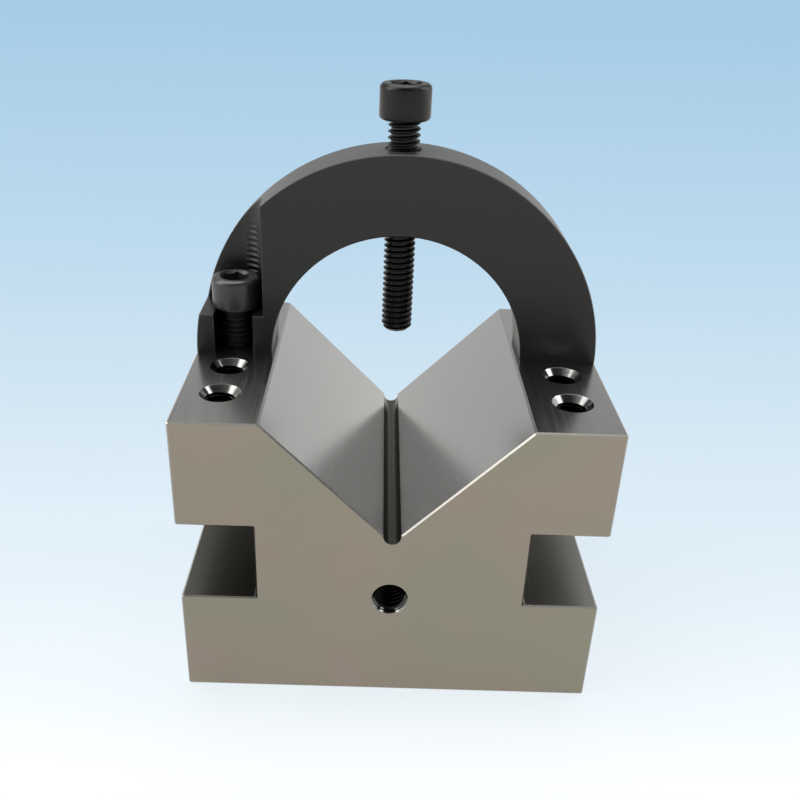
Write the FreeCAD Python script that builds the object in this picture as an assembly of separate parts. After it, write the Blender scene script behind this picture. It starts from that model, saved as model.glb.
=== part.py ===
"""V block with a twist-off arch clamp: a ground steel block with a 90 degree V and side clamping slots,
a blackened arch held on its top face by two cap screws, and a cap screw through the arch's crown.

Millimetres. The origin is the centre of the base, +Z is up, the V runs along Y and -Y is the front.
"""
import FreeCAD, Part
import math
import os

from FreeCAD import Vector

# Block
block_width = 100.0
block_depth = 75.0
block_height = 75.0
vee_opening = 60.0  # width of the V at the top face
vee_half_angle = 45.0  # degrees, from the vertical
relief_width = 4.1  # narrow slot under the V
relief_overrun = 0.4  # from the V's virtual point down to the slot's floor
slot_depth = 18.0  # side clamping slots, in from each side face
ledge_height = 28.0  # slot floor, above the base
rail_height = 26.7  # slot roof, below the top face
slot_corner_radius = 0.8
block_edge_break = 0.35
end_hole_height = 28.7  # tapped hole in each end face, above the base
end_hole_depth = 18.0
end_hole_mouth = 8.8

# Rows of tapped holes along the two top lands
rows = 4
row_pitch = 15.0
row_inset = 9.5  # hole centres, in from the side faces
hole_depth = 20.0
hole_mouth = 9.6
clamped_row = 2  # the arch stands on this row, counted from the front, starting at 0

# Cap screws, all of one thread
thread_width = 7.94
thread_clearance = 0.06  # radial, between a thread and its tapped bore
head_width = 11.9
head_height = 7.94
head_rim_break = 0.7
head_foot_break = 0.3
socket_width = 6.35  # across flats
socket_depth = 4.6
tip_break = 1.0
clamp_screw_length = 50.8
arch_screw_length = 25.4
clamp_screw_gap = 6.4  # from the arch's crown up to the head, as the screw stands

# Arch
arch_side_step = 0.2  # the arch's outside stands in from the block's side faces
arch_vee_step = 1.0  # its inside stands back from the V's edges
arch_edge_break = 0.2
seat_height = 10.0  # floor of each head pocket, above the block's top face
pocket_clearance = 1.05  # between a screw head and the pocket's round end
pocket_shift = 0.5  # the round end stands this far in and towards the mouth from the screw
pocket_wall = 1.0  # left behind the pocket's round end
hook_height = 17.0  # of the right leg's pocket, which is closed above
shank_clearance = 0.83  # between a screw and its slot
crown_mouth = 9.4  # countersink of the tapped bore through the crown

drill_point = 118.0  # degrees, bottom of the blind holes
hex_sides = 6
tolerance = 1e-6  # for finding edges by their place

# Derived sizes
half_width = block_width / 2
half_depth = block_depth / 2
bore_radius = thread_width / 2 + thread_clearance
vee_depth = vee_opening / 2 / math.tan(math.radians(vee_half_angle))
row_x = half_width - row_inset
row_places = [(row - (rows - 1) / 2) * row_pitch for row in range(rows)]
clamp_y = row_places[clamped_row]
pocket_radius = head_width / 2 + pocket_clearance
arch_thickness = 2 * (pocket_radius - pocket_shift + pocket_wall)
arch_outer_radius = half_width - arch_side_step
arch_inner_radius = vee_opening / 2 + arch_vee_step
crown_height = block_height + arch_outer_radius
seat_z = block_height + seat_height


def chamfered_outline(corners, y):
    """Closed wire in the plane of the given y. Each corner is (x, z, cut): cut is the chamfer's leg."""
    points = []
    count = len(corners)
    for i, (x, z, cut) in enumerate(corners):
        here = Vector(x, y, z)
        if cut == 0:
            points.append(here)
            continue
        for neighbour in (corners[i - 1], corners[(i + 1) % count]):
            away = Vector(neighbour[0], y, neighbour[1]) - here
            points.append(here + away.normalize() * cut)
    return Part.makePolygon(points + [points[0]])


def box_between(xs, ys, zs):
    """Box between two values along each axis, given in either order."""
    low = Vector(min(xs), min(ys), min(zs))
    size = Vector(max(xs), max(ys), max(zs)) - low
    return Part.makeBox(size.x, size.y, size.z, low)


def tapped_bore(mouth_centre, inward, depth, mouth_width):
    """Solid to cut away: a bore with a drill point, and a countersink at its mouth."""
    countersink = mouth_width / 2 - bore_radius
    point = bore_radius / math.tan(math.radians(drill_point / 2))
    bore = Part.makeCylinder(bore_radius, depth, mouth_centre, inward)
    bottom = Part.makeCone(bore_radius, 0, point, mouth_centre + inward * depth, inward)
    lift = countersink  # the cone starts outside the face, so that the cut is clean
    cone = Part.makeCone(mouth_width / 2 + lift, bore_radius, countersink + lift,
                         mouth_centre - inward * lift, inward)
    return bore.fuse(bottom).fuse(cone)


def edges_in_plane(solid, axis, place):
    """Edges that lie wholly in the plane where the coordinate X, Y or Z has the given value."""
    low = axis + "Min"
    high = axis + "Max"
    return [
        edge for edge in solid.Edges
        if abs(getattr(edge.BoundBox, low) - place) < tolerance
        and abs(getattr(edge.BoundBox, high) - place) < tolerance
    ]


def block():
    cut = block_edge_break
    shoulder = relief_width / 2
    shoulder_z = block_height - vee_depth + shoulder / math.tan(math.radians(vee_half_angle))
    floor_z = block_height - vee_depth - relief_overrun
    slot_x = half_width - slot_depth
    roof_z = block_height - rail_height
    right = [
        (half_width, 0, cut),
        (half_width, ledge_height, cut),
        (slot_x, ledge_height, 0),
        (slot_x, roof_z, 0),
        (half_width, roof_z, cut),
        (half_width, block_height, cut),
        (vee_opening / 2, block_height, cut),
        (shoulder, shoulder_z, 0),
        (shoulder, floor_z + shoulder, 0),
    ]
    left = [(-x, z, leg) for x, z, leg in reversed(right)]
    body = Part.Face(chamfered_outline(right + left, -half_depth)).extrude(Vector(0, block_depth, 0))
    ends = edges_in_plane(body, "Y", -half_depth) + edges_in_plane(body, "Y", half_depth)
    body = body.makeChamfer(cut, ends)

    relief_start = Vector(0, -half_depth, floor_z + shoulder)
    body = body.cut(Part.makeCylinder(shoulder, block_depth, relief_start, Vector(0, 1, 0)))

    # The milled slots keep a small radius in their inner corners
    inner_walls = edges_in_plane(body, "X", -slot_x) + edges_in_plane(body, "X", slot_x)
    inner_corners = [edge for edge in inner_walls if edge.BoundBox.ZLength < tolerance]
    body = body.makeFillet(slot_corner_radius, inner_corners)

    for side in (-1, 1):
        for y in row_places:
            mouth = Vector(side * row_x, y, block_height)
            body = body.cut(tapped_bore(mouth, Vector(0, 0, -1), hole_depth, hole_mouth))
        mouth = Vector(0, side * half_depth, end_hole_height)
        body = body.cut(tapped_bore(mouth, Vector(0, -side, 0), end_hole_depth, end_hole_mouth))
    return body


def leg_cuts(side, pocket_height):
    """Solid to cut from one leg: a head pocket above a shank slot, both open towards that side's end of Y.

    The left leg opens to the front and the right one to the back, so that a short turn frees the arch
    from its loosened screws. The pocket is open to the arch's outside too. A key reaches the left screw
    from above, and the right leg hooks under its screw's head.
    """
    outside = side * (arch_outer_radius + arch_side_step)
    mouth = clamp_y + side * arch_thickness
    top = seat_z + pocket_height

    pocket_x = side * (row_x - pocket_shift)
    pocket_y = clamp_y + side * pocket_shift
    inner_wall = pocket_x - side * pocket_radius
    back_wall = pocket_y - side * pocket_radius
    cuts = Part.makeCylinder(pocket_radius, top - seat_z, Vector(pocket_x, pocket_y, seat_z))
    cuts = cuts.fuse(box_between((inner_wall, outside), (pocket_y, mouth), (seat_z, top)))
    cuts = cuts.fuse(box_between((pocket_x, outside), (back_wall, mouth), (seat_z, top)))

    screw_x = side * row_x
    slot_half = thread_width / 2 + shank_clearance
    slot_sides = (screw_x - slot_half, screw_x + slot_half)
    cuts = cuts.fuse(Part.makeCylinder(slot_half, seat_height, Vector(screw_x, clamp_y, block_height)))
    return cuts.fuse(box_between(slot_sides, (clamp_y, mouth), (block_height, seat_z)))


def arch():
    front = clamp_y - arch_thickness / 2
    back = clamp_y + arch_thickness / 2
    centre = Vector(0, front, block_height)
    along = Vector(0, 1, 0)
    body = Part.makeCylinder(arch_outer_radius, arch_thickness, centre, along)
    body = body.cut(Part.makeCylinder(arch_inner_radius, arch_thickness, centre, along))
    across = (-arch_outer_radius, arch_outer_radius)
    body = body.cut(box_between(across, (front, back), (block_height - arch_outer_radius, block_height)))
    for side, pocket_height in ((-1, arch_outer_radius), (1, hook_height)):
        body = body.cut(leg_cuts(side, pocket_height))
    body = body.removeSplitter()

    faces_rims = edges_in_plane(body, "Y", front) + edges_in_plane(body, "Y", back)
    rims = [edge for edge in faces_rims if edge.BoundBox.ZMax > block_height + tolerance]
    body = body.makeChamfer(arch_edge_break, rims)

    # Tapped bore through the crown, cut from above it to below it
    wall = arch_outer_radius - arch_inner_radius
    down = Vector(0, 0, -1)
    bore_top = Vector(0, clamp_y, crown_height + wall / 2)
    body = body.cut(Part.makeCylinder(bore_radius, 2 * wall, bore_top, down))
    cone_top = Vector(0, clamp_y, crown_height + crown_mouth / 2)
    return body.cut(Part.makeCone(crown_mouth, 0, crown_mouth, cone_top, down))


def cap_screw(seat, length):
    """Socket head cap screw, with its head's underside at the seat and its shank down."""
    top_z = seat.z + head_height
    head = Part.makeCylinder(head_width / 2, head_height, seat)
    head = head.makeChamfer(head_rim_break, edges_in_plane(head, "Z", top_z))
    head = head.makeChamfer(head_foot_break, edges_in_plane(head, "Z", seat.z))

    tip = Vector(seat.x, seat.y, seat.z - length)
    shank_radius = thread_width / 2
    shank = Part.makeCylinder(shank_radius, length - tip_break, tip + Vector(0, 0, tip_break))
    point = Part.makeCone(shank_radius - tip_break, shank_radius, tip_break, tip)

    corner_radius = socket_width / math.sqrt(3)
    corners = []
    for i in range(hex_sides):
        turn = math.tau * i / hex_sides
        corners.append(Vector(seat.x + corner_radius * math.cos(turn),
                              seat.y + corner_radius * math.sin(turn), top_z - socket_depth))
    socket = Part.Face(Part.makePolygon(corners + [corners[0]])).extrude(Vector(0, 0, socket_depth))
    return head.fuse(shank).fuse(point).cut(socket).removeSplitter()


def main():
    os.makedirs("parts", exist_ok=True)
    clamp_seat = Vector(0, clamp_y, crown_height + clamp_screw_gap)
    pieces = {
        "v_block": block(),
        "clamp_arch": arch(),
        "clamp_screw": cap_screw(clamp_seat, clamp_screw_length),
        "arch_screw_left": cap_screw(Vector(-row_x, clamp_y, seat_z), arch_screw_length),
        "arch_screw_right": cap_screw(Vector(row_x, clamp_y, seat_z), arch_screw_length),
    }
    for name, shape in pieces.items():
        shape.exportStep("parts/" + name + ".step")
        print(name, "valid", shape.isValid(), "solids", len(shape.Solids), "volume", round(shape.Volume, 1))


main()
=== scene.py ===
import math

import bpy
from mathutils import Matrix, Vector


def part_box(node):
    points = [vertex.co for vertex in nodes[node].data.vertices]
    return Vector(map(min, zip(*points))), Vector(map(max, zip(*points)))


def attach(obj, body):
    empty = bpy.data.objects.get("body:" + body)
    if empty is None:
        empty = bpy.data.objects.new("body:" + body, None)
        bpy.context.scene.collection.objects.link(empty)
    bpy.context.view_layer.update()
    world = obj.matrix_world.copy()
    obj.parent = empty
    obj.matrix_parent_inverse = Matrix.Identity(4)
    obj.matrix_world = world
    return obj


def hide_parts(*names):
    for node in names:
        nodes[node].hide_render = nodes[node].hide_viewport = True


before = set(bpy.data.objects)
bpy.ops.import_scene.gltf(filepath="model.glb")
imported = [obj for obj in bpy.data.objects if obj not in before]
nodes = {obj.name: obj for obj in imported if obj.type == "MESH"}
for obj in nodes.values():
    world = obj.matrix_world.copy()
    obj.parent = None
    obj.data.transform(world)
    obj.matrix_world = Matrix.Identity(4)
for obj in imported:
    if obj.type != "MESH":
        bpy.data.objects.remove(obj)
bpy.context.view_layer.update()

mm = 0.001


# Colours and nodes

def colour(hexText):  # an sRGB hex value, turned linear
    parts = []
    for start in (1, 3, 5):
        value = int(hexText[start:start + 2], 16) / 255
        parts.append(value / 12.92 if value <= 0.04045 else ((value + 0.055) / 1.055) ** 2.4)
    return (*parts, 1.0)


def addNode(tree, kind, links=None, **settings):  # links feeds sockets, a plain value sets them
    node = tree.nodes.new(kind)
    for name, value in settings.items():
        setattr(node, name, value)
    for socket, value in (links or {}).items():
        if isinstance(value, bpy.types.NodeSocket):
            tree.links.new(value, node.inputs[socket])
        else:
            node.inputs[socket].default_value = value
    return node


def mathNode(tree, operation, *values):
    return addNode(tree, "ShaderNodeMath", dict(enumerate(values)), operation=operation).outputs["Value"]


def allOf(tree, *masks):
    whole = masks[0]
    for mask in masks[1:]:
        whole = mathNode(tree, "MULTIPLY", whole, mask)
    return whole


def nearTo(tree, value, middle, reach):  # 1 where the value is within reach of the middle, both in mm
    return mathNode(tree, "COMPARE", value, middle * mm, reach * mm)


def remap(tree, value, start, end, low=0.0, high=1.0, **settings):  # start to end becomes low to high
    return addNode(tree, "ShaderNodeMapRange",
                   {"Value": value, "From Min": start, "From Max": end, "To Min": low, "To Max": high},
                   **settings).outputs["Result"]


def mixColour(tree, factor, first, second, **settings):
    return addNode(tree, "ShaderNodeMix", {"Factor": factor, "A": first, "B": second},
                   data_type="RGBA", **settings).outputs["Result"]


def mixValue(tree, factor, first, second):
    return addNode(tree, "ShaderNodeMix", {"Factor": factor, "A": first, "B": second}).outputs["Result"]


def newMaterial(name):
    material = bpy.data.materials.new(name)
    material.use_nodes = True
    material.node_tree.nodes.clear()
    return material, material.node_tree


# The camera, fitted to the photograph

cameraSetup = {
    "place": (-5.45, -212.52, 168.53),  # mm
    "turn": (61.13, -1.49, 0.79),  # degrees
    "focal": 922,  # pixels
    "middle": (372, 440),  # where the lens axis meets the picture, pixels
    "picture": 800,  # pixels
    "sensor": 36,  # mm
    "clipStart": 10,  # mm
}


def makeCamera(setup):
    bpy.ops.object.camera_add(location=[value * mm for value in setup["place"]],
                              rotation=[math.radians(value) for value in setup["turn"]])
    camera = bpy.context.object
    camera.name = "photoCamera"
    camera.data.sensor_width = setup["sensor"]
    camera.data.lens = setup["focal"] / setup["picture"] * setup["sensor"]
    camera.data.shift_x = 0.5 - setup["middle"][0] / setup["picture"]
    camera.data.shift_y = setup["middle"][1] / setup["picture"] - 0.5
    camera.data.clip_start = setup["clipStart"] * mm
    bpy.context.scene.camera = camera


# The floor: pale in front and light blue further off to the camera, and neutral to all that mirrors it, with
# a painted shade in front of the block on what is mirrored

floorSetup = {
    "size": 12,  # m
    "shades": ((0.08, "#A3C8E1"), (0.3, "#B9D5E8"), (0.57, "#D4E5F0"), (0.89, "#EBF5FB"), (1.15, "#FAFDFF")),
    "reach": 0.1685,  # m, the shades follow this over the distance along Y from viewY
    "viewY": -0.2125,  # m
    "paint": "#EDECE9",  # what the object mirrors
    "shade": "#C3C2C0",  # and in the shade of the camera
    "shadeMiddle": (0.02, -0.17),  # m
    "shadeReach": (0.12, 0.45),  # m, from full shade to none
    "roughness": 0.9,
    "shownShare": 0.84,  # how much of its colour is shown as it is, and the rest is lit
}


def makeFloor(setup):
    bpy.ops.mesh.primitive_plane_add(size=setup["size"])
    floor = bpy.context.object
    floor.name = "floor"
    material, tree = newMaterial("matt painted board")  # an even ground with no shine
    place = addNode(tree, "ShaderNodeTexCoord").outputs["Object"]
    along = addNode(tree, "ShaderNodeSeparateXYZ", {"Vector": place})
    distance = mathNode(tree, "ABSOLUTE", mathNode(tree, "SUBTRACT", along.outputs["Y"], setup["viewY"]))
    highest = setup["shades"][-1][0]
    nearness = mathNode(tree, "DIVIDE", setup["reach"] / highest, distance)
    shades = addNode(tree, "ShaderNodeValToRGB", {"Fac": nearness})
    ramp = shades.color_ramp
    for stop in setup["shades"][1:-1]:
        ramp.elements.new(stop[0] / highest)
    for element, stop in zip(ramp.elements, setup["shades"]):
        element.position = stop[0] / highest
        element.color = colour(stop[1])

    # painted shade: the colour that the object mirrors is darker round a spot in front of the block
    away = addNode(tree, "ShaderNodeVectorMath", {0: place, 1: (*setup["shadeMiddle"], 0)},
                   operation="DISTANCE")
    clear = remap(tree, away.outputs["Value"], *setup["shadeReach"], interpolation_type="SMOOTHSTEP")
    mirrored = mixColour(tree, clear, colour(setup["shade"]), colour(setup["paint"]))
    path = addNode(tree, "ShaderNodeLightPath")
    paint = mixColour(tree, path.outputs["Is Camera Ray"], mirrored, shades.outputs["Color"])
    board = addNode(tree, "ShaderNodeBsdfPrincipled",
                    {"Base Color": paint, "Roughness": setup["roughness"], "Specular IOR Level": 0.0})
    shown = addNode(tree, "ShaderNodeEmission", {"Color": paint})
    seen = mathNode(tree, "MAXIMUM", path.outputs["Is Camera Ray"], path.outputs["Is Glossy Ray"])
    share = mathNode(tree, "MULTIPLY", seen, setup["shownShare"])
    surface = addNode(tree, "ShaderNodeMixShader",
                      {0: share, 1: board.outputs["BSDF"], 2: shown.outputs["Emission"]})
    addNode(tree, "ShaderNodeOutputMaterial", {"Surface": surface.outputs["Shader"]})
    floor.data.materials.append(material)


# The room: a bright low wall, a dark front above it, and soft windows. The camera sees a flat backdrop

roomSetup = {
    "wallLow": "#CFD0D1",
    "wallHigh": "#8A8B8D",
    "wallFront": "#303030",
    "lowEdge": (0.22, 0.52),  # sines of the height angles between which the bright low part fades
    "brightSide": (-0.42, 1.0, 0.6),  # the room darkens away from here, to the front right
    "frontEdge": (0.0, 0.5),  # along the bright side, where the dark front ends
    "frontLow": (0.14, 0.36),  # sines of the heights up to which the front is as pale as the rest
    "leftShade": 0.85,  # the left side's share of the light
    "leftEdge": (-0.6, 0.2),  # along X, where the left side ends
    "backdrop": "#A3C8E1",  # what the camera sees past the floor
    "windows": (  # direction, cosines at its rim and at its full light, strength, colour
        ((-0.87, -0.12, 0.47), (0.87, 0.97), 2.4, "#FFFBF4"),
        ((-0.87, -0.12, 0.47), (0.985, 0.995), 8.0, "#FFFFFF"),
        ((0.9, 0.25, 0.25), (0.85, 0.97), 1.4, "#F8FAFF"),
        ((0.77, 0.15, 0.62), (0.96, 0.985), 3.5, "#FFFFFF"),
        ((-0.66, 0.05, 0.75), (0.965, 0.985), 2.0, "#FFFFFF"),
        ((0.62, -0.55, 0.56), (0.985, 0.996), 2.2, "#FFFFFF"),
        ((-0.62, -0.55, 0.56), (0.98, 0.996), 2.5, "#FFFFFF"),
    ),
}


def makeRoom(setup):
    room = bpy.data.worlds.new("room")
    bpy.context.scene.world = room
    room.use_nodes = True
    tree = room.node_tree
    tree.nodes.clear()
    ray = addNode(tree, "ShaderNodeTexCoord").outputs["Generated"]
    along = addNode(tree, "ShaderNodeSeparateXYZ", {"Vector": ray})
    height = along.outputs["Z"]
    rise = remap(tree, height, *setup["lowEdge"], interpolation_type="SMOOTHSTEP")
    wall = mixColour(tree, rise, colour(setup["wallLow"]), colour(setup["wallHigh"]))
    backward = addNode(tree, "ShaderNodeVectorMath", {0: ray, 1: setup["brightSide"]},
                       operation="DOT_PRODUCT").outputs["Value"]
    back = remap(tree, backward, *setup["frontEdge"], interpolation_type="SMOOTHSTEP")
    low = remap(tree, height, setup["frontLow"][1], setup["frontLow"][0], interpolation_type="SMOOTHSTEP")
    pale = mathNode(tree, "MAXIMUM", back, low)
    shade = mixColour(tree, pale, colour(setup["wallFront"]), wall)
    for towards, rim, strength, tint in setup["windows"]:
        near = addNode(tree, "ShaderNodeVectorMath", {0: ray, 1: towards},
                       operation="DOT_PRODUCT").outputs["Value"]
        glow = remap(tree, near, *rim, 0.0, strength, interpolation_type="SMOOTHSTEP")
        shade = mixColour(tree, glow, shade, colour(tint), blend_type="ADD", clamp_factor=False)
    side = remap(tree, along.outputs["X"], *setup["leftEdge"], setup["leftShade"], 1.0)
    light = addNode(tree, "ShaderNodeBackground", {"Color": shade, "Strength": side})
    backdrop = addNode(tree, "ShaderNodeBackground", {"Color": colour(setup["backdrop"])})
    path = addNode(tree, "ShaderNodeLightPath")
    surface = addNode(tree, "ShaderNodeMixShader",
                      {0: path.outputs["Is Camera Ray"], 1: light.outputs["Background"],
                       2: backdrop.outputs["Background"]})
    addNode(tree, "ShaderNodeOutputWorld", {"Surface": surface.outputs["Shader"]})


sunSetup = {  # a wide soft light overhead
    "strength": 2.3,
    "tilt": (-14, -6, 0),  # degrees, towards the back and the left
    "spread": 62,  # degrees
}


def makeSun(setup):
    bpy.ops.object.light_add(type="SUN", rotation=[math.radians(value) for value in setup["tilt"]])
    sun = bpy.context.object
    sun.name = "overheadSoftbox"
    sun.data.energy = setup["strength"]
    sun.data.angle = math.radians(setup["spread"])


makeCamera(cameraSetup)
makeFloor(floorSetup)
makeRoom(roomSetup)
makeSun(sunSetup)
bpy.context.scene.view_settings.view_transform = "Standard"
print("camera and studio are set")


# The block's steel

blockFaces = {  # where the block's finishes change, in mm
    "slotMiddle": (40.7, 38.15),  # side slots, X from the middle plane and Z
    "slotReach": (8.8, 10.2),
    "reliefReach": 2.1,
    "reliefTop": 47.2,
    "rowMiddle": (40.5, 65),  # tapped holes in the lands, X from the middle plane and Z
    "rowReach": (4.85, 9.95),
    "rowEnd": 30,
    "endMiddle": 28.7,
    "endReach": 4.5,
    "endDarker": 3.5,  # the end holes' painted shade deepens this much sooner
    "top": 75,
    "end": 37.5,  # end faces, from the middle
    "skin": 0.05,  # what lies nearer to a face than this is the face itself
    "endFacing": 0.9,  # the normal's share along Y from which a face is an end face
    "slopeFacing": (0.707107, 0.15),  # the same share on the ends' broken edges, and how far it may be off
    "lengthFacing": 0.5,  # and the share under which a face runs along the block
    "landFacing": 0.97,  # the normal's share along Z from which a face is a land
    "upFacing": 0.54,  # and from which it faces up
}

groundSteelLook = {
    "ground": "#C9C8C5",  # V faces, top lands and sides
    # the end faces are the same steel, painted darker and warmer as a painted reflection of warm
    # surroundings, in soft random patches
    "end": "#C4B7AA",
    "endPatch": "#BBB9A7",
    "patchSpread": (0.35, 0.65),  # how much of the noise goes from one colour to the other
    "edge": "#C6C4BF",  # broken edges of the ends
    "topEdge": "#94928D",  # where they face up, on the left: painted shade that dims their shine
    "topEdgeLessShaded": "#BDBBB4",  # and on the right, with less painted shade
    # painted shade on the slots' broken edges at the ends
    "slotEdge": "#3A3936",
    "milled": "#5A5952",  # side slots, painted dark as the shade in them
    "lessShadedMilled": "#93918C",  # the right one's floor, with less painted shade
    # painted shade in the relief groove at the bottom of the V
    "relief": "#66655F",
    "mouth": "#9C9C9A",  # countersinks, where the holes' painted shade starts
    "bore": "#1E1D1B",
    "holeShadeDepth": (1.2, 5.0),  # mm, where a hole's painted shade goes from its mouth's colour to its bore's
    "groundRoughness": 0.24,
    "landRoughness": 0.22,
    "endRoughness": 0.45,
    "milledRoughness": 0.35,
    "boreRoughness": 0.15,
    "topEdgeRoughness": 0.5,
    "lineShare": 0.03,  # how far the lines change the roughness
    "lineSpread": (0.3, 0.7),  # the part of their noise that does it
    "patch": 34,  # mm, size of the soft tonal patches
    "lineLength": 22,  # mm, length of a grinding line
    "linePitch": 0.35,  # mm, real lines are about 0.05 mm apart, drawn coarser so that they show
    "lineHeight": 0.0001,  # mm
}


def blockMasks(tree, place, faces):  # 1 on the faces that carry a finish or painted shade of their own, and a depth in metres for the holes' painted shade
    point = addNode(tree, "ShaderNodeSeparateXYZ", {"Vector": place.outputs["Object"]})
    normal = addNode(tree, "ShaderNodeSeparateXYZ", {"Vector": place.outputs["Normal"]})
    across = mathNode(tree, "ABSOLUTE", point.outputs["X"])
    along = mathNode(tree, "ABSOLUTE", point.outputs["Y"])
    height = point.outputs["Z"]
    facing = mathNode(tree, "ABSOLUTE", normal.outputs["Y"])
    lengthwise = mathNode(tree, "LESS_THAN", facing, faces["lengthFacing"])
    slopingEnd = mathNode(tree, "COMPARE", facing, *faces["slopeFacing"])

    slotX, slotZ = faces["slotMiddle"]
    reachX, reachZ = faces["slotReach"]
    slotHeight = nearTo(tree, height, slotZ, reachZ)
    rowX, rowZ = faces["rowMiddle"]
    row = allOf(tree, nearTo(tree, across, rowX, faces["rowReach"][0]),
                nearTo(tree, height, rowZ, faces["rowReach"][1]),
                mathNode(tree, "LESS_THAN", along, faces["rowEnd"] * mm))
    endHole = allOf(tree, mathNode(tree, "LESS_THAN", across, faces["endReach"] * mm),
                    nearTo(tree, height, faces["endMiddle"], faces["endReach"]),
                    mathNode(tree, "LESS_THAN", along, (faces["end"] - faces["skin"]) * mm))
    topDepth = mathNode(tree, "SUBTRACT", faces["top"] * mm, height)
    endDepth = mathNode(tree, "MULTIPLY", mathNode(tree, "SUBTRACT", faces["end"] * mm, along),
                        faces["endDarker"])
    return {
        "end": mathNode(tree, "GREATER_THAN", facing, faces["endFacing"]),
        "land": mathNode(tree, "GREATER_THAN", normal.outputs["Z"], faces["landFacing"]),
        "edge": slopingEnd,
        "upward": mathNode(tree, "GREATER_THAN", normal.outputs["Z"], faces["upFacing"]),
        # as far across as in height, so that it takes in the slots' corners at the side faces
        "slotEnd": allOf(tree, nearTo(tree, across, slotX, reachZ), slotHeight, slopingEnd),
        "slot": allOf(tree, nearTo(tree, across, slotX, reachX), slotHeight, lengthwise),
        "relief": allOf(tree, mathNode(tree, "LESS_THAN", across, faces["reliefReach"] * mm),
                        mathNode(tree, "LESS_THAN", height, faces["reliefTop"] * mm), lengthwise),
        "right": mathNode(tree, "GREATER_THAN", point.outputs["X"], 0.0),
        "hole": mathNode(tree, "MAXIMUM", row, endHole),
        "depth": mathNode(tree, "MINIMUM", topDepth, endDepth),
    }


# surface ground tool steel: a cool mirror with fine straight lines and soft patches
def groundSteel(look, faces):
    material, tree = newMaterial("surface ground tool steel")
    place = addNode(tree, "ShaderNodeTexCoord")
    masks = blockMasks(tree, place, faces)
    patches = addNode(tree, "ShaderNodeTexNoise", {"Vector": place.outputs["Object"],
                                                   "Scale": 1 / (look["patch"] * mm), "Detail": 2.0})
    length = 1 / (look["lineLength"] * mm)
    pitch = 1 / (look["linePitch"] * mm)
    direction = addNode(tree, "ShaderNodeMix", {"Factor": masks["end"], "A": (pitch, length, pitch),
                                                "B": (length, pitch, pitch)}, data_type="VECTOR")
    stretched = addNode(tree, "ShaderNodeVectorMath",
                        {0: place.outputs["Object"], 1: direction.outputs["Result"]}, operation="MULTIPLY")
    lines = addNode(tree, "ShaderNodeTexNoise", {"Vector": stretched.outputs["Vector"], "Scale": 1.0,
                                                 "Detail": 3.0})

    patch = remap(tree, patches.outputs["Fac"], *look["patchSpread"])
    endPaint = mixColour(tree, patch, colour(look["end"]), colour(look["endPatch"]))
    paint = mixColour(tree, masks["end"], colour(look["ground"]), endPaint)
    paint = mixColour(tree, masks["edge"], paint, colour(look["edge"]))
    # painted shade on the up-facing broken edges, deeper on the left
    topEdge = allOf(tree, masks["edge"], masks["upward"])
    edgeTop = mixColour(tree, masks["right"], colour(look["topEdge"]), colour(look["topEdgeLessShaded"]))
    paint = mixColour(tree, topEdge, paint, edgeTop)
    # painted shade where the slots meet the ends
    slotSide = allOf(tree, masks["slotEnd"], mathNode(tree, "SUBTRACT", 1.0, masks["upward"]))
    paint = mixColour(tree, slotSide, paint, colour(look["slotEdge"]))
    # painted shade in the side slots, lighter on the right one's floor
    slotFloor = allOf(tree, masks["right"], masks["upward"])
    milled = mixColour(tree, slotFloor, colour(look["milled"]), colour(look["lessShadedMilled"]))
    paint = mixColour(tree, masks["slot"], paint, milled)
    # painted shade in the relief groove
    paint = mixColour(tree, masks["relief"], paint, colour(look["relief"]))
    # painted shade in the holes, darker with depth
    deep = remap(tree, masks["depth"], look["holeShadeDepth"][0] * mm, look["holeShadeDepth"][1] * mm)
    inHole = mixColour(tree, deep, colour(look["mouth"]), colour(look["bore"]))
    paint = mixColour(tree, masks["hole"], paint, inHole)

    rough = mixValue(tree, masks["end"], look["groundRoughness"], look["endRoughness"])
    rough = mixValue(tree, masks["land"], rough, look["landRoughness"])
    rough = mixValue(tree, masks["slot"], rough, look["milledRoughness"])
    rough = mixValue(tree, topEdge, rough, look["topEdgeRoughness"])
    rough = mixValue(tree, masks["hole"], rough, look["boreRoughness"])
    change = remap(tree, lines.outputs["Fac"], *look["lineSpread"], -look["lineShare"], look["lineShare"])
    rough = mathNode(tree, "ADD", rough, change)
    scratches = addNode(tree, "ShaderNodeBump", {"Height": lines.outputs["Fac"], "Strength": 1.0,
                                                 "Distance": look["lineHeight"] * mm})
    steel = addNode(tree, "ShaderNodeBsdfPrincipled", {"Base Color": paint, "Metallic": 1.0,
                                                       "Roughness": rough,
                                                       "Normal": scratches.outputs["Normal"]})
    addNode(tree, "ShaderNodeOutputMaterial", {"Surface": steel.outputs["BSDF"]})
    return material


# The blackened arch and screws

archOxideLook = {
    "film": "#080808",
    "worn": "#151514",
    "ior": 1.6,
    "roughness": (0.27, 0.35),
    "mottle": 3.0,  # mm
    "grain": 0.4,  # mm
    "grainHeight": 0.002,  # mm
}
screwOxideLook = {
    "film": "#080808",
    "worn": "#121212",
    "ior": 1.45,
    "roughness": (0.28, 0.36),
    "mottle": 2.0,
    "grain": 0.3,
    "grainHeight": 0.0004,
}
paleOxideLook = {  # the arch's screws: the screws' film painted lighter, a lit copy of it
    **screwOxideLook,
    "film": "#20221F",
    "worn": "#373A36",
    "ior": 1.65,
}
archRimSheen = {  # the turned outside, painted lighter as a painted sheen
    "middle": 75,  # mm, height of its axis
    "radius": 49.5,  # mm
    "film": "#3C3C3A",
    "roughness": 0.36,
}
shankShade = {  # painted shade: the arch's screws are painted near black and rough under the head
    "seat": 85,  # mm, height
    "film": "#050505",
    "roughness": 0.7,
}
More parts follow.
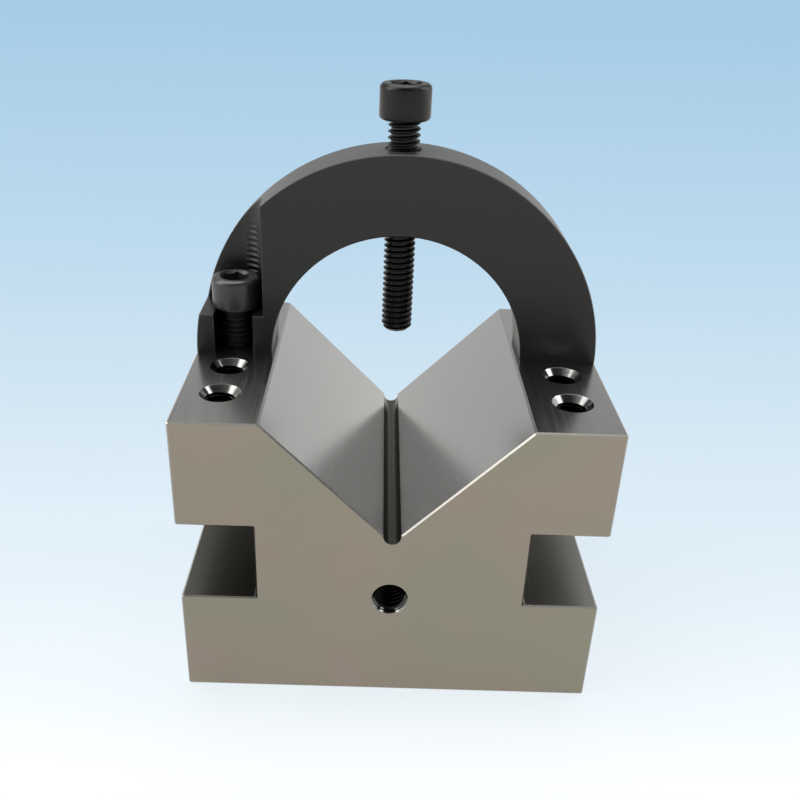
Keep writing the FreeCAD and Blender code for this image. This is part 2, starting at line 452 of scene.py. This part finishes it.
pocketRings = {  # mm, cutter rings on the round wall of each head pocket
    "middle": (40.0, 7.5, 0.5),  # X from the middle plane, Y, and the shift along Y to the pocket's mouth
    "wall": (6.8, 7.2),  # distances from the pocket's middle that are its wall
    "pitch": 1.45,
    "height": 0.2,
    "turns": (0.75, 0.95, 1.2, 1.35),  # radians, the stretch of wall, and its soft ends
    "fade": (107.0, 103.0),  # heights between which the rings come in
}


def rimMask(tree, place, rim):  # 1 on the arch's outside, where the painted sheen goes
    upright = addNode(tree, "ShaderNodeVectorMath", {0: place.outputs["Object"], 1: (1, 0, 1)},
                      operation="MULTIPLY")
    away = addNode(tree, "ShaderNodeVectorMath",
                   {0: upright.outputs["Vector"], 1: (0, 0, rim["middle"] * mm)}, operation="DISTANCE")
    return mathNode(tree, "GREATER_THAN", away.outputs["Value"], rim["radius"] * mm)


def shankShadeMask(tree, place, shank):  # 1 under the arch screws' heads, where the painted shade goes
    point = addNode(tree, "ShaderNodeSeparateXYZ", {"Vector": place.outputs["Object"]})
    return mathNode(tree, "LESS_THAN", point.outputs["Z"], shank["seat"] * mm)


def ringHeight(tree, place, rings):  # a height in metres, 0 off the pockets' walls
    point = addNode(tree, "ShaderNodeSeparateXYZ", {"Vector": place.outputs["Object"]})
    side = mathNode(tree, "SIGN", point.outputs["X"])
    pocketX = mathNode(tree, "MULTIPLY", side, rings["middle"][0] * mm)
    pocketY = mathNode(tree, "MULTIPLY_ADD", side, rings["middle"][2] * mm, rings["middle"][1] * mm)
    awayX = mathNode(tree, "SUBTRACT", point.outputs["X"], pocketX)
    awayY = mathNode(tree, "SUBTRACT", point.outputs["Y"], pocketY)
    reach = mathNode(tree, "SQRT", mathNode(tree, "ADD", mathNode(tree, "MULTIPLY", awayX, awayX),
                                            mathNode(tree, "MULTIPLY", awayY, awayY)))
    wall = allOf(tree, mathNode(tree, "GREATER_THAN", reach, rings["wall"][0] * mm),
                 mathNode(tree, "LESS_THAN", reach, rings["wall"][1] * mm))
    otherSide = mathNode(tree, "MULTIPLY", side, -1.0)
    turn = mathNode(tree, "ARCTAN2", mathNode(tree, "MULTIPLY", awayY, otherSide),
                    mathNode(tree, "MULTIPLY", awayX, otherSide))
    begins = remap(tree, turn, rings["turns"][0], rings["turns"][1])
    ends = remap(tree, turn, rings["turns"][3], rings["turns"][2])
    level = mathNode(tree, "MULTIPLY_ADD", point.outputs["Z"], math.tau / (rings["pitch"] * mm),
                     mathNode(tree, "MULTIPLY", turn, -1.0))
    wave = mathNode(tree, "SINE", level)
    fade = remap(tree, point.outputs["Z"], rings["fade"][0] * mm, rings["fade"][1] * mm)
    return allOf(tree, wave, allOf(tree, wall, fade, begins, ends), rings["height"] / 2 * mm)


# oiled magnetite film on steel: near black, with a satin sheen. One part of it may have its own colour and
# roughness, for painted sheen or painted shade
def blackOxide(name, look, rings=None, part=None, partMask=None):
    material, tree = newMaterial(name)
    place = addNode(tree, "ShaderNodeTexCoord")
    mottle = addNode(tree, "ShaderNodeTexNoise", {"Vector": place.outputs["Object"],
                                                  "Scale": 1 / (look["mottle"] * mm), "Detail": 4.0})
    grain = addNode(tree, "ShaderNodeTexNoise", {"Vector": place.outputs["Object"],
                                                 "Scale": 1 / (look["grain"] * mm), "Detail": 2.0})
    paint = mixColour(tree, mottle.outputs["Fac"], colour(look["film"]), colour(look["worn"]))
    rough = remap(tree, mottle.outputs["Fac"], 0.0, 1.0, *look["roughness"])
    if part:
        inPart = partMask(tree, place, part)
        paint = mixColour(tree, inPart, paint, colour(part["film"]))
        rough = mixValue(tree, inPart, rough, part["roughness"])
    height = mathNode(tree, "MULTIPLY", grain.outputs["Fac"], look["grainHeight"] * mm)
    if rings:
        height = mathNode(tree, "ADD", height, ringHeight(tree, place, rings))
    bumps = addNode(tree, "ShaderNodeBump", {"Height": height, "Strength": 1.0, "Distance": 1.0})
    film = addNode(tree, "ShaderNodeBsdfPrincipled", {"Base Color": paint, "Metallic": 0.0,
                                                      "Roughness": rough, "IOR": look["ior"],
                                                      "Normal": bumps.outputs["Normal"]})
    addNode(tree, "ShaderNodeOutputMaterial", {"Surface": film.outputs["BSDF"]})
    return material


steelMaterial = groundSteel(groundSteelLook, blockFaces)  # the CAD's block and arch keep their shape
# the arch's outside gets a painted sheen
archMaterial = blackOxide("black oxide on milled steel", archOxideLook, pocketRings, archRimSheen, rimMask)
screwMaterial = blackOxide("black oxide on rolled alloy steel", screwOxideLook)
# the arch's screws: a lighter, lit copy of the screws' film, with painted shade on their shanks
paleScrewMaterial = blackOxide("painted lighter black oxide on rolled alloy steel", paleOxideLook, None,
                               shankShade, shankShadeMask)
nodes["v_block"].material_slots[0].material = steelMaterial
nodes["clamp_arch"].material_slots[0].material = archMaterial
print("materials are made")


# Modelling helpers

placeTolerance = 0.01 * mm  # for finding edges by their place
weldDistance = 1e-6  # m, points nearer than this become one
cutTolerance = 1e-7  # m
smoothAngle = math.radians(28)  # steeper edges stay sharp


def deselectAll():
    bpy.ops.object.select_all(action="DESELECT")


def makeActive(piece):
    deselectAll()
    piece.select_set(True)
    bpy.context.view_layer.objects.active = piece


def applyModifier(piece, kind, **settings):
    makeActive(piece)
    modifier = piece.modifiers.new(kind.lower(), kind)
    for name, value in settings.items():
        setattr(modifier, name, value)
    bpy.ops.object.modifier_apply(modifier=modifier.name)


def combine(piece, tool, operation):  # one boolean, and the tool goes
    applyModifier(piece, "BOOLEAN", operation=operation, object=tool, solver="EXACT")
    bpy.data.objects.remove(tool)


def selectLevelEdges(piece, level):  # edges that lie at one height, in metres
    makeActive(piece)
    bpy.ops.object.mode_set(mode="EDIT")
    bpy.ops.mesh.select_mode(type="EDGE")
    bpy.ops.mesh.select_all(action="DESELECT")
    bpy.ops.object.mode_set(mode="OBJECT")
    points = piece.data.vertices
    for edge in piece.data.edges:
        edge.select = all(abs(points[i].co.z - level) < placeTolerance for i in edge.vertices)
    bpy.ops.object.mode_set(mode="EDIT")


def bevelLevel(piece, level, **settings):
    selectLevelEdges(piece, level)
    bpy.ops.mesh.bevel(**settings)
    bpy.ops.object.mode_set(mode="OBJECT")


def placePiece(piece, place):  # the place goes into the mesh, and the object stays at the origin
    makeActive(piece)
    piece.location = place
    bpy.ops.object.transform_apply(location=True, rotation=True, scale=True)


def giveMaterial(piece, material):
    piece.data.materials.clear()
    piece.data.materials.append(material)


# Threads, 5/16 inch with 18 turns to the inch, right-handed

thread = {
    "width": 7.6,  # mm, over the crests, which are a little worn down
    "pitch": 1.411,
    "depth": 0.75,
    "crest": 0.18,
    "root": 0.35,
    "steps": 36,  # round one turn
    "turnsBelow": 2,  # spare turns under the rod's end, and there is one more above its top
    "cutPast": 0.487,  # of a pitch, how far past its ends a rod is cut, clear of the mesh's own levels
}


def threadedRod(spec, length):  # a helix about Z, from above z = 0 to below the length
    outer = spec["width"] / 2 * mm
    inner = outer - spec["depth"] * mm
    flank = (spec["pitch"] - spec["crest"] - spec["root"]) / 2 * mm
    turns = math.ceil(length / spec["pitch"]) + spec["turnsBelow"] + 1
    start = -length * mm - spec["turnsBelow"] * spec["pitch"] * mm
    bpy.ops.mesh.primitive_plane_add(size=mm, location=(inner, 0, start))
    rod = bpy.context.object
    bpy.ops.object.transform_apply(location=True)
    bpy.ops.object.mode_set(mode="EDIT")
    bpy.ops.mesh.select_mode(type="VERT")
    bpy.ops.mesh.select_all(action="SELECT")
    bpy.ops.mesh.merge(type="CENTER")
    bpy.ops.mesh.select_all(action="SELECT")
    for stepOut, stepUp in ((0, spec["root"] * mm), (outer - inner, flank), (0, spec["crest"] * mm),
                            (inner - outer, flank)):
        bpy.ops.mesh.extrude_region_move(TRANSFORM_OT_translate={"value": (stepOut, 0, stepUp)})
    bpy.ops.object.mode_set(mode="OBJECT")
    applyModifier(rod, "SCREW", axis="Z", angle=math.tau, screw_offset=spec["pitch"] * mm, iterations=turns,
                  steps=spec["steps"], render_steps=spec["steps"], use_merge_vertices=True,
                  merge_threshold=weldDistance)
    past = spec["cutPast"] * spec["pitch"] * mm
    bpy.ops.object.mode_set(mode="EDIT")
    for height, inside in ((-length * mm - past, True), (past, False)):
        bpy.ops.mesh.select_all(action="SELECT")
        bpy.ops.mesh.bisect(plane_co=(0, 0, height), plane_no=(0, 0, 1), use_fill=True,
                            clear_inner=inside, clear_outer=not inside, threshold=cutTolerance)
    bpy.ops.mesh.select_all(action="SELECT")
    bpy.ops.mesh.remove_doubles(threshold=weldDistance)
    bpy.ops.mesh.normals_make_consistent(inside=False)
    bpy.ops.object.mode_set(mode="OBJECT")
    return rod


# Cap screws

capScrew = {
    "headWidth": 11.9,  # mm
    "headHeight": 7.94,
    "rim": 1.2,  # rounded edges of the head
    "foot": 0.9,
    "rounding": 4,  # steps over such an edge
    "keyWidth": 6.35,
    "keyDepth": 4.6,
    "keyLead": 0.35,
    "tip": 1.0,
    "blankOver": 0.05,  # the shank's blank is this much wider than the thread, on each side
    "headSteps": 96,  # round the head
    "shankSteps": 72,
}
capScrews = (  # node, length under the head in mm, and finish
    ("clamp_screw", 50.8, screwMaterial),
    ("arch_screw_left", 25.4, paleScrewMaterial),
    ("arch_screw_right", 25.4, paleScrewMaterial),
)


def makeScrew(name, spec, length, place, material):  # its head's underside is at z = 0 until it is placed
    steps = spec["headSteps"]
    height = spec["headHeight"] * mm
    bpy.ops.mesh.primitive_cylinder_add(vertices=steps, radius=spec["headWidth"] / 2 * mm, depth=height,
                                        location=(0, 0, height / 2))
    screw = bpy.context.object
    screw.name = name
    bpy.ops.object.transform_apply(location=True)
    for level, cut in ((height, spec["rim"]), (0, spec["foot"])):
        bevelLevel(screw, level, offset=cut * mm, segments=spec["rounding"], profile=0.5)

    keyRadius = spec["keyWidth"] / math.sqrt(3) * mm
    bpy.ops.mesh.primitive_cylinder_add(vertices=6, radius=keyRadius, depth=2 * spec["keyDepth"] * mm,
                                        location=(0, 0, height))
    combine(screw, bpy.context.object, "DIFFERENCE")
    leadRadius = keyRadius + spec["keyLead"] * mm
    bpy.ops.mesh.primitive_cone_add(vertices=steps, radius1=0, radius2=leadRadius, depth=leadRadius,
                                    location=(0, 0, height - leadRadius / 2 + spec["keyLead"] * mm / 2))
    combine(screw, bpy.context.object, "DIFFERENCE")

    # the blank stands 1 mm up into the head
    rod = threadedRod(thread, length)
    blankRadius = (thread["width"] / 2 + spec["blankOver"]) * mm
    bpy.ops.mesh.primitive_cylinder_add(vertices=spec["shankSteps"], radius=blankRadius,
                                        depth=length * mm + mm, location=(0, 0, -length / 2 * mm + mm / 2))
    blank = bpy.context.object
    bpy.ops.object.transform_apply(location=True)
    bevelLevel(blank, -length * mm, offset=spec["tip"] * mm, segments=1)
    combine(rod, blank, "INTERSECT")
    combine(screw, rod, "UNION")
    makeActive(screw)
    bpy.ops.object.shade_smooth_by_angle(angle=smoothAngle)
    placePiece(screw, place)
    giveMaterial(screw, material)
    return screw


for nodeName, length, finish in capScrews:
    low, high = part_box(nodeName)
    seat = Vector(((low.x + high.x) / 2, (low.y + high.y) / 2, high.z - capScrew["headHeight"] * mm))
    threadedScrew = makeScrew(nodeName + "_threaded", capScrew, length, seat, finish)
    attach(threadedScrew, nodeName)
    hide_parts(nodeName)
print("cap screws are made")


# Threads in the free tapped holes, as sleeves that fill the block's smooth bores

tappedHole = {
    "width": 8.0,  # mm, of the sleeve
    "bore": 6.6,
    "length": 15.0,
    "tap": {**thread, "width": 7.9, "depth": 0.85},
    "below": 0.8,  # from the face down to the sleeve
    "landX": 40.5,  # hole places, from the middle
    "landY": (-22.5, -7.5, 22.5),
    "endHeight": 28.7,
    "steps": 72,  # round the sleeve
    "boreSteps": 64,
}


def makeSleeve(spec):  # its mouth is at z = 0 and it reaches down
    radius = spec["width"] / 2 * mm
    length = spec["length"] * mm
    bpy.ops.mesh.primitive_cylinder_add(vertices=spec["steps"], radius=radius, depth=length,
                                        location=(0, 0, -length / 2))
    sleeve = bpy.context.object
    bpy.ops.object.transform_apply(location=True)
    combine(sleeve, threadedRod(spec["tap"], spec["length"]), "DIFFERENCE")
    bpy.ops.mesh.primitive_cylinder_add(vertices=spec["boreSteps"], radius=spec["bore"] / 2 * mm,
                                        depth=3 * length)  # past both ends
    combine(sleeve, bpy.context.object, "DIFFERENCE")
    bpy.ops.mesh.primitive_cone_add(vertices=spec["steps"], radius1=0, radius2=2 * radius, depth=2 * radius)
    combine(sleeve, bpy.context.object, "DIFFERENCE")
    makeActive(sleeve)
    bpy.ops.object.shade_smooth_by_angle(angle=smoothAngle)
    return sleeve


def copySleeve(sleeve, place, tilt):
    makeActive(sleeve)
    bpy.ops.object.duplicate()
    copy = bpy.context.object
    copy.rotation_euler = (tilt, 0, 0)
    placePiece(copy, place)
    return copy


def makeThreads(spec, material):
    sleeve = makeSleeve(spec)
    low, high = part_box("v_block")
    copies = []
    for side in (-1, 1):
        for y in spec["landY"]:
            place = (side * spec["landX"] * mm, y * mm, high.z - spec["below"] * mm)
            copies.append(copySleeve(sleeve, place, 0))
        place = (0, side * (high.y - spec["below"] * mm), spec["endHeight"] * mm)
        copies.append(copySleeve(sleeve, place, -side * math.pi / 2))
    bpy.data.objects.remove(sleeve)
    makeActive(copies[0])
    for copy in copies:
        copy.select_set(True)
    bpy.ops.object.join()
    threads = bpy.context.object
    threads.name = "tapped_threads"
    giveMaterial(threads, material)
    return threads


tappedThreads = makeThreads(tappedHole, steelMaterial)
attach(tappedThreads, "v_block")
print("tapped threads are made")
